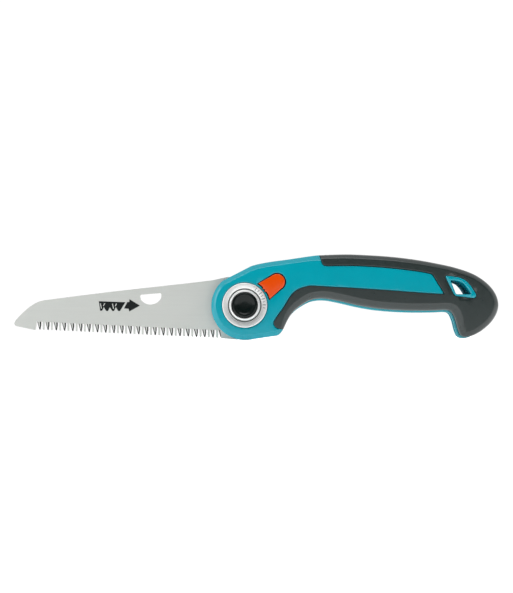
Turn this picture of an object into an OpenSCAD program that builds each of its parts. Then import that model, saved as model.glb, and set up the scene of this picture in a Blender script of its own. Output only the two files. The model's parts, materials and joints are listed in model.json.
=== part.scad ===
// Folding pruning saw with a pull-cut blade, a push-button pivot lock and a two-shell handle
// with a soft overmoulded grip. The blade lies in the plane y = 0 and points towards -X, the
// grip runs towards +X, and +Z is up. The button side of the handle faces -Y.
// Outlines are drawn in the plane of the blade, about the pivot, and pushed out along Y.

/* [Blade] */
// Reach of the blade's nose from the pivot
nose_reach = 167.7; // [166:0.1:168]
// Thickness of the blade
blade_t = 1.2; // [1:0.1:1.4]
// Distance between neighbouring teeth
tooth_pitch = 3.0; // [2.8:0.05:3]
// Depth of the gullets
tooth_h = 5.8; // [4:0.1:6]

/* [Handle] */
// Reach of the handle's end from the pivot
grip_reach = 181.7; // [181.7:0.1:182.5]
// Radius of the round head
head_r = 24.4; // [24.3:0.1:24.8]
// Distance from the mid plane to the hard face of a shell
face_y = 10.5; // [10:0.1:11]
// Distance from the mid plane to the face of the soft grip
grip_y = 11.2; // [10.8:0.1:11.6]
// Half the width of the blade slot
slot_half = 1.7; // [1.5:0.1:2]
// Thickness of the soft grip round the edges
grip_wall = 2.4; // [2:0.1:2.8]
// How far the hard lips of the slot stand out of the soft grip
lip_out = 1.3; // [0.6:0.1:1.4]

/* [Pivot] */
// Radius of the pivot bolt's shank
bolt_r = 4.0; // [3.5:0.1:4.2]
// Radius of the bush that the blade turns on
bush_r = 5.0; // [4.8:0.1:5.5]
// Outer radius of the metal bezel
bezel_r = 16.0; // [15.8:0.1:16.3]
// Distance from the mid plane to the rim of the bezel's collar
collar_y = 13.4; // [13:0.1:14]

/* [Lock] */
// Radius at which the lock pin stands
pin_at_r = 21; // [20.8:0.1:21]
// Radius of the lock pin's shoulder
pin_r = 2.2; // [2:0.1:2.3]
// Travel of the lock button
press = 3.0; // [2:0.1:3]
// Direction of the lock button from the pivot, in degrees above +X
button_dir = 36; // [35:1:37]
// Angle through which the blade folds
fold = 174; // [170:1:174]

/* [Hidden] */

$fn = 96;
far = 400;                       // larger than the whole saw
eps = 0.01;
run_gap = 0.05;                  // radial clearance of a turning or sliding fit
head_c = [0.3, -0.4];            // centre of the round head's outline
pivot = [(nose_reach - grip_reach) / 2, 0, head_r - head_c[1]];

// Layers of the pivot, each a distance from the mid plane
washer_y = blade_t / 2 + 0.1;    // friction washer's face towards the blade
plate_y = washer_y + 0.6;        // bearing plate's face towards the blade
plate_back_y = plate_y + 1.5;
seat_y = 6.5;                    // floor of the counterbore under the bolt head or washers
bezel_seat_y = 8.3;              // floor of the recess under the bezel
grip_bed_y = 8.6;                // shell's face under the soft grip
lip_y = 3.2;                     // outer side of the slot's lips
edge_step = 1.4;                 // step along the outer edges of shells and grips
rim_y = grip_y + 0.2;            // rim of the hanging hole
seat_r = 9.2;                    // counterbore for the bolt head or washers
bezel_gap = 0.2;                 // clearance round the bezel in its recess
cap_r = 9.2;

// ---------------------------------------------------------------- outlines
function arc(c, r, from, to, steps) =
    [for (i = [0:steps]) let (a = from + (to - from) * i / steps) c + r * [cos(a), sin(a)]];

// Smooth curve through the points of p from the second to the last but one
function catmull(a, b, c, d, t) =
    b + 0.5 * t * (c - a + t * (2 * a - 5 * b + 4 * c - d + t * (3 * b - a - 3 * c + d)));
function spline(p, steps) = concat(
    [for (i = [1:len(p) - 3]) for (j = [0:steps - 1])
        catmull(p[i - 1], p[i], p[i + 1], p[i + 2], j / steps)],
    [p[len(p) - 2]]);
// Polygon with every corner i rounded off, starting at the distance cuts[i] from the corner
function rounded(p, cuts, steps) = let (n = len(p))
    [for (i = [0:n - 1])
        let (b = p[i], a = p[(i + n - 1) % n] - b, c = p[(i + 1) % n] - b,
            start = b + cuts[i] * a / norm(a), end = b + cuts[i] * c / norm(c))
        for (t = [0:1 / steps:1]) (1 - t) * (1 - t) * start + 2 * t * (1 - t) * b + t * t * end];

// Closed outline moved inwards by d, or by d[i] at its point i
function inset(p, d) =
    [for (i = [0:len(p) - 1])
        let (n = len(p), a = p[(i + n - 1) % n], b = p[(i + 1) % n], t = (b - a) / norm(b - a))
        p[i] + (is_list(d) ? d[i] : d) * [-t[1], t[0]]];

function dir(a) = [cos(a), sin(a)];

// Round head, from its top left round the front to its underside
head_curve = arc(head_c, head_r, 132, 276, 20);
// Underside of the handle: chin, finger hollow, palm swell
under_curve = spline([[15, -22.8], [22.6, -21.7], [25.3, -20.1], [27.5, -17.1], [30.9, -10.2], [34.7, -5.1],
    [40.2, -0.9], [47.8, 2.9], [56.7, 3.8], [67.5, 2], [79.4, -0.8], [91.6, -3], [105.6, -4.4],
    [121.5, -5], [135.5, -4.9], [144.2, -4.6], [147.6, -5.9], [149.9, -10.9], [151.6, -17.7]], 3);
// Hooked end of the handle and its back, scaled along X to the wanted reach
hook_scale = (grip_reach - 149.9) / (181.7 - 149.9);
function stretch(p) = [149.9 + (p[0] - 149.9) * hook_scale, p[1]];
hook_curve = spline(concat(
    [[147.6, -5.9], [149.9, -10.9], [151.6, -17.7]],
    [for (p = [[153.9, -22.3], [158, -23.5], [163.6, -21.7], [170, -17.7], [176.4, -12],
        [180.6, -5.2], [181.7, 1.7], [179.2, 9.4], [173.1, 16.5], [163.6, 22.7]]) stretch(p)],
    [[150.7, 27.2], [136.9, 30.3], [123, 32.8], [107.1, 34.8], [91.3, 36], [73.4, 36.7], [55.6, 36.2],
        [47, 35.4], [31.5, 33.1], [16.3, 31], [4.3, 28.2], [-6, 22.8]]), 3);
hook_tail = [for (i = [1:len(hook_curve) - 1]) hook_curve[i]];
handle_outline = concat(head_curve, under_curve, hook_tail);

// The soft grip stays inside the slot's hard lips from the finger hollow to the hook's tip
hook_front = 9;                  // points of the hook's curve that follow its front edge
lip_inset = concat(
    [for (p = head_curve) 0],
    [for (i = [0:len(under_curve) - 1]) lip_out * min(1, max(0, (i - 11) / 6))],
    [for (i = [0:len(hook_tail) - 1]) lip_out * min(1, max(0, (hook_front + 3 - i) / 4))]);
grip_outline = inset(handle_outline, lip_inset);
core_outline = inset(handle_outline, grip_wall);

// Hard face of the head and the panel that reaches into the grip
panel_edge = spline([[52.3, 44], [53.1, 38], [54.3, 33], [55.4, 29.8], [57.7, 28.2], [65, 28.2],
    [78, 28.2], [90.7, 27.6], [104.5, 26.5], [116.3, 25.2], [126.1, 23.8], [132.4, 22.5], [134.6, 20.8],
    [137.9, 15.3], [141.5, 9.2], [140.8, 8.1], [134, 8.4], [122.2, 9.2], [104.5, 10.6], [88.7, 11.6],
    [76.9, 12.4], [63.1, 13.1], [53.3, 13.7], [47.4, 14], [42.4, 13.1], [37.8, 11.2], [33.2, 7.4],
    [27.7, -1.4], [22.7, -8.4], [20.6, -12.6], [22.2, -15.9], [25.8, -17.1], [29.5, -17.4],
    [34, -18]], 3);
hard_zone = concat([[34, -60], [-60, -60], [-60, 60], [53.1, 60]], panel_edge);

// Space that the blade sweeps and is stored in
slot_outline = [[3, 25.6], [3, 60], [-60, 60], [-60, -60], [167, -60], [169, -23], [170, -14], [170.4, -4],
    [167.5, -1.2], [155, 3], [151, 3.5], [20.5, 23.3], [9.6, 25.6]];

// Hole for hanging up
hang_rim = rounded([[149.7, 6.7], [164.2, 5], [165.1, 7.6], [161.2, 13.9], [157.5, 17.9], [153.2, 19.9],
    [142.8, 21.2]], [1.8, 1.3, 1.3, 2.1, 2.1, 2.1, 1.9], 4);
hang_hole = rounded([[150.7, 7.9], [161.4, 7.8], [158.5, 12.5], [155.5, 15.9], [152.3, 17.2],
    [146.7, 18]], [1, 1, 1.5, 1.5, 1.5, 1], 4);

// Lock button, drawn along its own radius
button_c = 28.5;                 // radius at which its round end is centred
button_end_r = 5.7;
button_half_w = 6.9;             // half its width at the inner edge
button_in_r = 18.4;              // radius of its concave inner edge
function button_outline(grow) = let (
        a = asin((button_half_w + grow) / button_in_r))
    concat(
        arc([button_c, 0], button_end_r + grow, -96, 96, 24),
        arc([0, 0], button_in_r - grow, a, -a, 12));

// Screw positions along the back wall and at the end of the handle
screws = [[38, 28.3], [80, 22], [118, 17.5], [174.5, 2]];

// Blade
tooth_first = -149.2;            // first tooth tip at the nose end
tooth_slope = -0.0477;           // the tooth line runs away from the spine towards the pivot
tooth_z0 = -24.42;               // height of the tooth line at the pivot
teeth = 44;
// Outlines of the two kinds of teeth about their tips, from the pivot side to the nose side, each
// point [x, height as a share of the gullet's depth]; they follow one another in turn
wide_tooth = [[1, 1], [1, 0.59], [0.4, 0], [-0.4, 0.03], [-1.95, 1]];
narrow_tooth = [[0.8, 1], [0.65, 0], [-0.65, 0.03], [-0.85, 1]];
function tooth_z(x) = tooth_z0 + tooth_slope * x;
tang_r = 24.2;                   // round part of the tang that stays in the head
tang_top_r = 22.8;

// ---------------------------------------------------------------- helpers
// Pushes a drawing in the blade's plane out between two distances along Y
module slab(y0, y1)
    translate([0, y1, 0]) rotate([90, 0, 0]) linear_extrude(y1 - y0) children();

// Round bar across the handle at a point of the blade's plane
module bar(r, y0, y1, at = [0, 0])
    translate([at[0], y1, at[1]]) rotate([90, 0, 0]) cylinder(r = r, h = y1 - y0);

// Turned piece about the pivot, drawn as [radius, distance towards -Y]
module turned(profile)
    rotate([90, 0, 0]) rotate_extrude() polygon(profile);

// Body through a list of rings, each [y, closed outline]
module loft(rings) {
    n = len(rings[0][1]);
    m = len(rings);
    polyhedron(
        points = [for (r = rings) for (q = r[1]) [q[0], r[0], q[1]]],
        faces = concat(
            [[for (i = [0:n - 1]) i]],
            [[for (i = [0:n - 1]) m * n - 1 - i]],
            [for (k = [0:m - 2]) for (i = [0:n - 1]) let (j = (i + 1) % n)
                [k * n + j, k * n + i, (k + 1) * n + i, (k + 1) * n + j]]));
}

module mirrored() mirror([0, 1, 0]) children();

module in_place() translate(pivot) children();

// Everything that the slot leaves open
module slot_zone(y0, y1)
    slab(y0, y1) polygon(slot_outline);

pin_at = pin_at_r * dir(button_dir);

// ---------------------------------------------------------------- handle shells
// Ribs are left between these pockets on the inner side of a shell
pockets = [[64, 86], [90, 112], [116, 136]];   // start and end along X
pocket_y = 6.6;
function roof_z(x) = 22.5 - 0.152 * (x - 25.7);
function pocket_floor_z(x) = 10.5 - 0.13 * (x - 64);

module shell_body() {
    difference() {
        union() {
            // core under the soft grip
            slab(-grip_bed_y, 0) polygon(core_outline);
            // hard head and panel
            intersection() {
                union() {
                    slab(-face_y + edge_step, 0) polygon(handle_outline);
                    slab(-face_y, -face_y + edge_step + eps) polygon(inset(handle_outline, edge_step));
                }
                slab(-far, far) polygon(hard_zone);
            }
            // lips of the slot
            intersection() {
                slab(-lip_y, 0) polygon(handle_outline);
                slot_zone(-far, far);
            }
        }
        slot_zone(-slot_half, far);
        // pockets in the wall beside the stored blade
        for (p = pockets)
            slab(-pocket_y, far) polygon([[p[0], pocket_floor_z(p[0])], [p[1], pocket_floor_z(p[1])],
                [p[1], roof_z(p[1])], [p[0], roof_z(p[0])]]);
    }
    // raised rim of the hanging hole
    slab(-rim_y, -slot_half - 1) polygon(hang_rim);
}

module shell_blank() {
    difference() {
        shell_body();
        slab(-far, far) polygon(hang_hole);
        bar(bolt_r + run_gap, -far, far);
        bar(seat_r, -far, -seat_y);
        bar(bezel_r + bezel_gap, -far, -bezel_seat_y);
        // recess of the bearing plate
        plate_body(-plate_back_y, far, 0.1);
    }
}

button_gap = 0.4;
flange_grow = 0.9;               // the button's hidden flange stands out by this much
wall_in_y = 7.5;                 // inner side of the wall that the button passes through

module near_shell() color("#009fae") in_place() difference() {
    shell_blank();
    rotate([0, -button_dir, 0]) {
        slab(-far, -wall_in_y + 1) polygon(button_outline(button_gap));
        slab(-wall_in_y, -plate_back_y + eps) polygon(button_outline(flange_grow + 0.4));
    }
    for (s = screws) bar(screw_r, -screw_tip_y - 0.3, eps, s);
}

module far_shell() color("#0098a5") in_place() difference() {
    mirrored() shell_blank();
    bar(pin_r + 0.3, plate_back_y - eps, plate_back_y + press + 0.6, pin_at);
    for (s = screws) {
        bar(screw_r + 0.1, -eps, far, s);
        bar(screw_head_r + 0.3, screw_head_y, far, s);
    }
}

// ---------------------------------------------------------------- soft grips
module grip_blank() {
    difference() {
        union() {
            slab(-grip_y + edge_step, 0) polygon(grip_outline);
            slab(-grip_y, -grip_y + edge_step + eps) polygon(inset(grip_outline, edge_step));
        }
        slab(-far, far) polygon(hard_zone);
        slab(-grip_bed_y, far) polygon(core_outline);
        slot_zone(-lip_y, far);
        slab(-far, far) polygon(hang_rim);
    }
}

module near_grip() color("#3a423f") in_place() grip_blank();

module far_grip() color("#3a423f") in_place() difference() {
    mirrored() grip_blank();
    bar(screw_head_r + 0.3, screw_head_y, far, screws[3]);
}

// ---------------------------------------------------------------- blade
window_c = [-68.6, 8.6];         // middle of the flat side of the finger window
window_tilt = 4.7;               // the flat side runs along the spine
module blade_window() {
    half_w = 7.8;
    corner_r = 1.2;
    floor_r = 8.6;
    floor_c = [0, 0.9];
    rotate([0, -window_tilt, 0]) slab(-blade_t, blade_t) polygon(concat(
        arc([half_w - corner_r, -corner_r], corner_r, 90, -20, 6),
        arc(floor_c, floor_r, -30, -150, 16),
        arc([-half_w + corner_r, -corner_r], corner_r, 200, 90, 6)));
}

// The nose's curve, scaled along X to the wanted reach
nose_root = -153;
nose_scale = (nose_reach + nose_root) / (167.7 + nose_root);
function nose(p) = [for (q = p) [nose_root + (q[0] - nose_root) * nose_scale, q[1]]];

module blade_outline() {
    spine = spline(concat(
        nose([[-168, -16], [-167.7, -12.9], [-166.2, -10], [-163.6, -7.2], [-160.6, -4.2],
            [-156.6, -0.8]]),
        [[-151.4, 2.4], [-146, 4.1], [-139, 5]]), 3);
    heel_x = -16.4;              // tip of the half tooth that ends the row
    first_x = -151.5;            // in front of the first tooth
    toothed = [for (i = [teeth - 1:-1:0]) let (x = tooth_first + i * tooth_pitch)
        for (q = i % 2 == 0 ? wide_tooth : narrow_tooth)
            [x + q[0], tooth_z(x) + q[1] * tooth_h]];
    polygon(concat(
        spine,
        [[-98, 10.2], [-44.5, 16.1], [-24, 18.5], [-13.5, 20.8], [-9.5, 21.1]],
        arc([0, 0], tang_top_r, 113, 54, 12),
        arc([0, 0], tang_r, 50, -97, 30),
        [[-6, -24.5], [heel_x, tooth_z(heel_x)], [heel_x - 1.2, tooth_z(heel_x) + 0.2],
            [heel_x - 2.75, tooth_z(heel_x) + tooth_h]],
        toothed,
        [[first_x, tooth_z(tooth_first) + tooth_h], [-151.9, -17.1], [-152.5, -17.6]],
        nose([[-165.6, -14.9], [-167, -14.2]])));
}

module blade() color("#cfd2ce") in_place() {
    slot_in = pin_at_r - pin_r - 0.15;
    slot_out = pin_at_r + pin_r + 0.15;
    difference() {
        slab(-blade_t / 2, blade_t / 2) blade_outline();
        bar(bush_r + run_gap, -far, far);
        // arc in which the lock pin runs
        difference() {
            intersection() {
                bar(slot_out, -blade_t, blade_t);
                slab(-blade_t, blade_t) polygon(concat([[0, 0]],
                    arc([0, 0], 1.5 * tang_r, button_dir - fold, button_dir, 24)));
            }
            bar(slot_in, -far, far);
        }
        for (a = [button_dir, button_dir - fold])
            bar((slot_out - slot_in) / 2, -blade_t, blade_t, pin_at_r * dir(a));
        translate([window_c[0], 0, window_c[1]]) blade_window();
    }
}

// ---------------------------------------------------------------- pivot
plate_main_r = 15;
plate_lug_r = 5;
plate_arm_w = 8;                 // width of the arm between the two round parts

// Outline of a bearing plate, larger all round by grow
module plate_body(y0, y1, grow) {
    bar(plate_main_r + grow, y0, y1);
    bar(plate_lug_r + grow, y0, y1, pin_at);
    rotate([0, -button_dir, 0]) translate([0, y0, -plate_arm_w / 2 - grow])
        cube([pin_at_r, y1 - y0, plate_arm_w + 2 * grow]);
}

module bearing_plate_blank() difference() {
    plate_body(-plate_back_y, -plate_y, 0);
    bar(bolt_r + run_gap, -far, far);
    bar(pin_r + run_gap, -far, far, pin_at);
}

module near_bearing_plate() color("#8f9396") in_place() bearing_plate_blank();
module far_bearing_plate() color("#8f9396") in_place() mirrored() bearing_plate_blank();

washer_r = 13;
module friction_washer_blank() difference() {
    bar(washer_r, -plate_y, -washer_y);
    bar(bush_r + run_gap, -far, far);
}
module near_friction_washer() color("#e8e6df") in_place() friction_washer_blank();
module far_friction_washer() color("#e8e6df") in_place() mirrored() friction_washer_blank();

module pivot_bush() color("#b08d4c") in_place() difference() {
    bar(bush_r, -plate_y, plate_y);
    bar(bolt_r + run_gap, -far, far);
}

bolt_head_r = 8.2;
bolt_head_t = 2.8;
thread_r = 3.0;
nut_y = seat_y + 1.5;            // the nut's seat on top of the two washers
nut_t = 3.2;
nut_r = 6.9;                     // across the corners
socket_r = 2.9;
socket_depth = 2;

module pivot_bolt() color("#a7abae") in_place() difference() {
    turned([[0, seat_y + bolt_head_t], [bolt_head_r - 0.6, seat_y + bolt_head_t],
        [bolt_head_r, seat_y + bolt_head_t - 0.6], [bolt_head_r, seat_y], [bolt_r, seat_y],
        [bolt_r, -seat_y + 0.1], [thread_r, -seat_y + 0.1], [thread_r, -nut_y - nut_t + 0.3],
        [thread_r - 0.5, -nut_y - nut_t - 0.1], [0, -nut_y - nut_t - 0.1]]);
    // hexagon socket
    translate([0, -seat_y - bolt_head_t + socket_depth, 0]) rotate([90, 0, 0])
        cylinder(r = socket_r, h = 2 * socket_depth, $fn = 6);
}

flat_washer_r = 8;
flat_washer_t = 0.7;
module flat_washer() color("#a7abae") in_place() difference() {
    bar(flat_washer_r, seat_y, seat_y + flat_washer_t);
    bar(thread_r + 0.1, 0, far);
}

// Conical spring washer between the flat washer and the nut
cone_r = 7.4;
cone_t = 0.4;
module spring_washer() color("#7d8286") in_place()
    mirrored() turned([[thread_r + 0.1, nut_y - cone_t], [cone_r, seat_y + flat_washer_t],
        [cone_r, seat_y + flat_washer_t + cone_t], [thread_r + 0.1, nut_y]]);

module pivot_nut() color("#a7abae") in_place() difference() {
    translate([0, nut_y + nut_t, 0]) rotate([90, 0, 0]) cylinder(r = nut_r, h = nut_t, $fn = 6);
    bar(thread_r, 0, far);
}

// Metal bezel: seat, flat face, groove, raised collar with a rounded lip
groove_r = 11.9;
collar_r = 11.2;
mark_w = 0.32;
mark_depth = 0.35;
module bezel_blank() difference() {
    turned([[cap_r + 0.1, bezel_seat_y], [bezel_r, bezel_seat_y], [bezel_r, face_y + 0.95],
        [bezel_r - 0.4, face_y + 1.3], [groove_r + 0.4, face_y + 1.1], [groove_r, face_y + 0.9],
        [groove_r - 0.1, face_y + 0.4], [collar_r, face_y + 0.4], [collar_r - 0.1, face_y + 1.5],
        [collar_r - 0.7, collar_y - 0.35], [collar_r - 1.0, collar_y], [cap_r + 0.5, collar_y],
        [cap_r + 0.1, collar_y - 0.5]]);
    // setting marks on the face
    for (a = [-8:9:55]) rotate([0, -a, 0]) translate([bezel_r - 3, -face_y - 2, -mark_w / 2])
        cube([2, 2 - 1.2 + mark_depth, mark_w]);
}

module near_bezel() color("#d5d7d8") in_place() bezel_blank();
module far_bezel() color("#d5d7d8") in_place() mirrored() bezel_blank();

// Black cap with a shallow dish, open underneath
cap_top_y = collar_y - 0.2;
cap_foot_y = 9.5;
module cap_blank()
    turned([[0, cap_top_y - 1.0], [5.2, cap_top_y - 0.8], [7.4, cap_top_y - 0.1], [8.2, cap_top_y],
        [cap_r - 0.4, cap_top_y - 0.15], [cap_r, cap_top_y - 0.8], [cap_r, cap_foot_y],
        [cap_r - 1.1, cap_foot_y], [cap_r - 1.1, cap_top_y - 1.3], [7.3, cap_top_y - 1.4],
        [5.2, cap_top_y - 1.8], [0, cap_top_y - 1.8]]);

module near_cap() color("#151a1a") in_place() cap_blank();
module far_cap() color("#151a1a") in_place() mirrored() cap_blank();

// ---------------------------------------------------------------- lock
button_top_y = face_y + 0.6;
flange_y = wall_in_y - 0.1;
flange_t = 1.4;
spring_well_y = 9.4;
spring_well_r = 4.1;
spring_at = button_c * dir(button_dir);
pin_stud_r = 1.5;                // the pin's upper end is held in the button
pin_stud_y = 10;

module lock_button() color("#e85412") in_place() difference() {
    rotate([0, -button_dir, 0]) {
        loft([[-flange_y + eps, button_outline(0)], [-button_top_y + 0.7, button_outline(0)],
            [-button_top_y + 0.15, button_outline(-0.25)], [-button_top_y, button_outline(-0.7)]]);
        slab(-flange_y, -flange_y + flange_t) polygon(button_outline(flange_grow));
    }
    bar(spring_well_r, -spring_well_y, far, spring_at);
    bar(pin_stud_r, -pin_stud_y, far, pin_at);
}

module lock_pin() color("#b9bdbf") in_place() {
    neck_r = 1.6;
    neck_in = -blade_t / 2 - 0.6;
    bar(pin_stud_r, -pin_stud_y, -flange_y + flange_t, pin_at);
    bar(pin_r, -flange_y + flange_t, neck_in - press, pin_at);
    bar(neck_r, neck_in - press, neck_in, pin_at);
    bar(pin_r, neck_in, plate_back_y - 0.2, pin_at);
}

// Compression spring under the middle of the button, one swept tube
spring_r = 3.4;
spring_wire_r = 0.3;
spring_turns = 4;
spring_steps = 64;
module lock_spring() color("#7d8286") in_place() {
    n = 8;
    y0 = -plate_back_y - spring_wire_r - 0.02;
    y1 = -spring_well_y + spring_wire_r + 0.02;
    ring = [for (i = [0:spring_steps]) let (a = 360 * spring_turns * i / spring_steps,
            c = [spring_at[0] + spring_r * cos(a), y0 + (y1 - y0) * i / spring_steps,
                spring_at[1] + spring_r * sin(a)])
        for (k = [0:n - 1]) let (b = 360 * k / n)
            c + spring_wire_r * [cos(b) * cos(a), sin(b), cos(b) * sin(a)]];
    polyhedron(points = ring, faces = concat(
        [[for (k = [0:n - 1]) n - 1 - k]],
        [[for (k = [0:n - 1]) spring_steps * n + k]],
        [for (i = [0:spring_steps - 1]) for (k = [0:n - 1]) let (j = (k + 1) % n)
            [i * n + k, i * n + j, (i + 1) * n + j, (i + 1) * n + k]]));
}

// ---------------------------------------------------------------- screws
screw_r = 1.4;
screw_head_r = 2.9;
screw_head_t = 1.4;
screw_head_y = 7.0;
screw_tip_y = 7.2;
screw_socket_r = 1.3;
screw_socket_depth = 0.8;

module shell_screws() color("#6f7478") in_place() for (s = screws) difference() {
    union() {
        bar(screw_head_r, screw_head_y, screw_head_y + screw_head_t, s);
        bar(screw_r, -screw_tip_y, screw_head_y + eps, s);
    }
    translate([s[0], screw_head_y + screw_head_t + 1, s[1]]) rotate([90, 0, 0])
        cylinder(r = screw_socket_r, h = 1 + screw_socket_depth, $fn = 6);
}

blade();
near_shell();
far_shell();
near_grip();
far_grip();
near_bearing_plate();
far_bearing_plate();
near_friction_washer();
far_friction_washer();
pivot_bush();
pivot_bolt();
flat_washer();
spring_washer();
pivot_nut();
near_bezel();
far_bezel();
near_cap();
far_cap();
lock_button();
lock_pin();
lock_spring();
shell_screws();
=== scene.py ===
"""Looks of the folding pruning saw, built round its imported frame.

Outlines are drawn in the blade's plane as (x, z) in millimetres about the pivot, with x towards the
grip's end and z up; depths are distances from the mid plane, and the near side faces -Y.
"""
import json
import math

import bmesh
import bpy
import numpy as np
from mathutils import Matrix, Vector
from mathutils.geometry import delaunay_2d_cdt


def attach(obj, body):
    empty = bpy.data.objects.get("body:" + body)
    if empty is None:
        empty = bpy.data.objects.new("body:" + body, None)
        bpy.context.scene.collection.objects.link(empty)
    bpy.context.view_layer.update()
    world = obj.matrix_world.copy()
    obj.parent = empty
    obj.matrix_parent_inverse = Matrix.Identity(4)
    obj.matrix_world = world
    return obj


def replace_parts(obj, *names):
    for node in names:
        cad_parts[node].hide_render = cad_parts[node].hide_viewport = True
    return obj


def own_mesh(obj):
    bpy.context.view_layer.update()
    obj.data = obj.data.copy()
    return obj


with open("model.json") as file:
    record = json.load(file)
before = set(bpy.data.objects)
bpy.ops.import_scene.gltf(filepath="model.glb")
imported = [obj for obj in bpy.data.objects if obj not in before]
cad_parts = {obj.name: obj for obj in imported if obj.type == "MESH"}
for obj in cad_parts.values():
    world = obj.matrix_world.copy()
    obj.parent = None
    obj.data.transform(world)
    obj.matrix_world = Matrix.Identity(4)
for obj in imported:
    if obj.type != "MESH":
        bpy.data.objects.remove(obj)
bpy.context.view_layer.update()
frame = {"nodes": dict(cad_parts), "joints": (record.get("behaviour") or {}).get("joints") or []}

MM = 0.001
JOINTS = {j["name"]: j for j in frame["joints"]}
PIVOT = Vector(JOINTS["blade_fold"]["pos_m"])
HANDLE, BLADE, LOCK = "handle", "saw_blade", "lock"

# Depths from the mid plane, in millimetres
FACE_Y = 10.5
GRIP_Y = 11.2
GRIP_BED_Y = 4.6                 # inner side of the soft grips, inside the hard core
RIM_Y = 11.5
LIP_Y = 3.2
SLOT_Y = 1.7
BEZEL_SEAT_Y = 8.3
COLLAR_Y = 13.4
BLADE_HALF = 0.6
PARTING_Y = 0.02                 # half the seam between the two halves of the handle

# Sizes in the blade's plane
GRIP_WALL = 2.4
LIP_OUT = 1.3
SLIT = 0.3                       # between the hard panel or rim and the soft grip
BEZEL_R = 16.0
CAP_R = 9.2
BUTTON_DIR = math.radians(36)
BUTTON_C = 28.5
BUTTON_END_R = 5.7
BUTTON_HALF_W = 6.9
BUTTON_IN_R = 18.4
PIN_AT_R = 21.0
PIN_R = 2.2
FOLD = 174
SCREWS = [(38, 28.3), (80, 22), (118, 17.5), (174.5, 2)]
SCREW_WELL_R = 3.2
BEZEL_GAP = 0.35                 # between a bezel and its opening in the shell
BUTTON_GAP = 0.8                 # between the button and its opening
FLANGE_OUT = 0.7                 # how far the button's flange stands out; its black is painted shade in the gap round the button


# ---------------------------------------------------------------- curves
def arc(centre, r, start, end, steps):
    angles = np.radians(np.linspace(start, end, steps + 1))
    return np.stack([centre[0] + r * np.cos(angles), centre[1] + r * np.sin(angles)], 1)


def circle(centre, r, steps):
    return arc(centre, r, 0, 360, steps)[:-1]


def spline(points, steps):
    """Smooth curve from the second of the points to the last but one."""
    p = np.array(points, float)
    out = []
    for a, b, c, d in zip(p, p[1:], p[2:], p[3:]):
        for t in np.arange(steps) / steps:
            out.append(0.5 * (2 * b + (c - a) * t + (2 * a - 5 * b + 4 * c - d) * t * t
                              + (3 * b - a - 3 * c + d) * t ** 3))
    out.append(p[-2])
    return np.array(out)


def rounded(points, cuts, steps):
    """Closed polygon with its corners rounded off, each from its own distance cut on both sides."""
    p = np.array(points, float)
    out = []
    for a, b, c, cut in zip(np.roll(p, 1, 0), p, np.roll(p, -1, 0), cuts):
        start = b + cut * (a - b) / np.linalg.norm(a - b)
        end = b + cut * (c - b) / np.linalg.norm(c - b)
        for t in np.linspace(0, 1, steps + 1):
            out.append((1 - t) ** 2 * start + 2 * t * (1 - t) * b + t * t * end)
    return np.array(out)


def refine(loop, step):
    """Closed loop with its long edges split so that no edge is longer than step."""
    out = []
    for a, b in zip(loop, np.roll(loop, -1, 0)):
        n = max(1, int(math.ceil(np.linalg.norm(b[:2] - a[:2]) / step)))
        out += [a + (b - a) * k / n for k in range(n)]
    return np.array(out)


def inset(loop, distance):
    """Closed counter-clockwise loop moved inwards by a distance, one number or one for each point."""
    ahead = np.roll(loop, -1, 0)[:, :2] - np.roll(loop, 1, 0)[:, :2]
    ahead /= np.linalg.norm(ahead, axis=1)[:, None]
    normal = np.stack([-ahead[:, 1], ahead[:, 0]], 1)
    out = loop.copy()
    out[:, :2] += normal * np.broadcast_to(distance, len(loop))[:, None]
    return out


def nearest(loop, points, value=None):
    """Distance of each point from a closed loop, and the loop's value at the nearest place."""
    a = loop[:, :2]
    b = np.roll(a, -1, 0)
    ab = b - a
    length2 = (ab ** 2).sum(1)
    distance = np.empty(len(points))
    found = np.empty(len(points))
    for start in range(0, len(points), 1500):
        p = points[start:start + 1500, None, :2]
        t = np.clip(((p - a) * ab).sum(2) / length2, 0, 1)
        d2 = ((a + t[..., None] * ab - p) ** 2).sum(2)
        k = d2.argmin(1)
        rows = np.arange(len(k))
        distance[start:start + 1500] = np.sqrt(d2[rows, k])
        if value is not None:
            share = t[rows, k]
            found[start:start + 1500] = value[k] * (1 - share) + np.roll(value, -1)[k] * share
    return distance, found


def inside(loops, points):
    """Whether each point lies inside the first loop and outside the others."""
    hit = np.zeros(len(points), bool)
    x, z = points[:, 0], points[:, 1]
    for loop in loops:
        for a, b in zip(loop[:, :2], np.roll(loop[:, :2], -1, 0)):
            if a[1] == b[1]:
                continue
            crosses = (a[1] > z) != (b[1] > z)
            at = a[0] + (z - a[1]) / (b[1] - a[1]) * (b[0] - a[0])
            hit ^= crosses & (x < at)
    return hit


def fillet(distance, radius, depth):
    """How far a rounded edge has dropped at a distance from the rim."""
    t = 1 - np.clip(distance / radius, 0, 1)
    return depth * (1 - np.sqrt(np.clip(1 - t * t, 0, 1)))


def creased(distance, radius, depth, chamfer):
    """The same with a share of plain chamfer, which leaves a soft crease at the inner side."""
    t = 1 - np.clip(distance / radius, 0, 1)
    return chamfer * depth * t + (1 - chamfer) * fillet(distance, radius, depth)


# Where the rings of a rounded edge lie, in shares of its width, and one just inside it
FILLET_STEPS = np.append(1 - np.cos(np.radians([14, 27, 39, 50, 60, 70, 80, 90])), 1.1)


def fillet_rings(loop, radius):
    """Loops of points that follow a rounded edge."""
    return ring_points(loop, [share * radius for share in FILLET_STEPS])


def ring_points(loop, distances):
    """Points that follow a loop at some distances, counted inwards."""
    return np.concatenate([inset(loop, d)[:, :2] for d in distances])


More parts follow.
